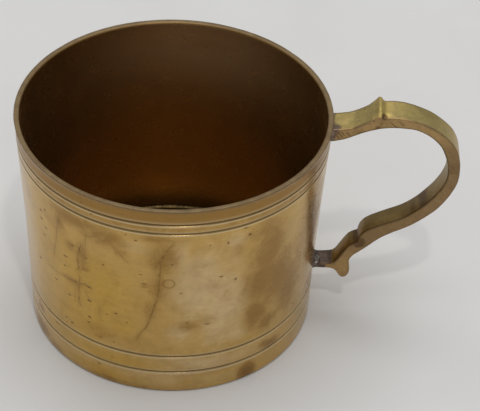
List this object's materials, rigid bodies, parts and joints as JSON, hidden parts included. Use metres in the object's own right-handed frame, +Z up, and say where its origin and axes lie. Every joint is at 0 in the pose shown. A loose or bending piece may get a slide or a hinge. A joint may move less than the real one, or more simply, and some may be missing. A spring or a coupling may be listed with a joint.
{
  "type": "drinking mug",
  "caption": "Straight-sided turned brass mug with grooved lines, a flared lip, a soldered-in base and a cast scroll handle with a thumb spur.",
  "frame": {"origin": "centre of the foot's standing ring, on the mug's axis", "axes": "+Z up the mug's axis, +X towards the handle"},
  "size_m": [0.1409, 0.1, 0.0834],
  "materials": {
    "turned_brass": "worn polish with brown patina, darker inside",
    "base_brass": "dull dark brown patina",
    "cast_brass": "filed casting, half polished",
    "solder": "dull grey tin solder"
  },
  "bodies": {
    "root": {"body_wall": "turned_brass", "base_disc": "base_brass", "base_solder_ring": "solder", "handle": "cast_brass", "upper_handle_solder": "solder", "lower_handle_solder": "solder"}
  },
  "joints": []
}
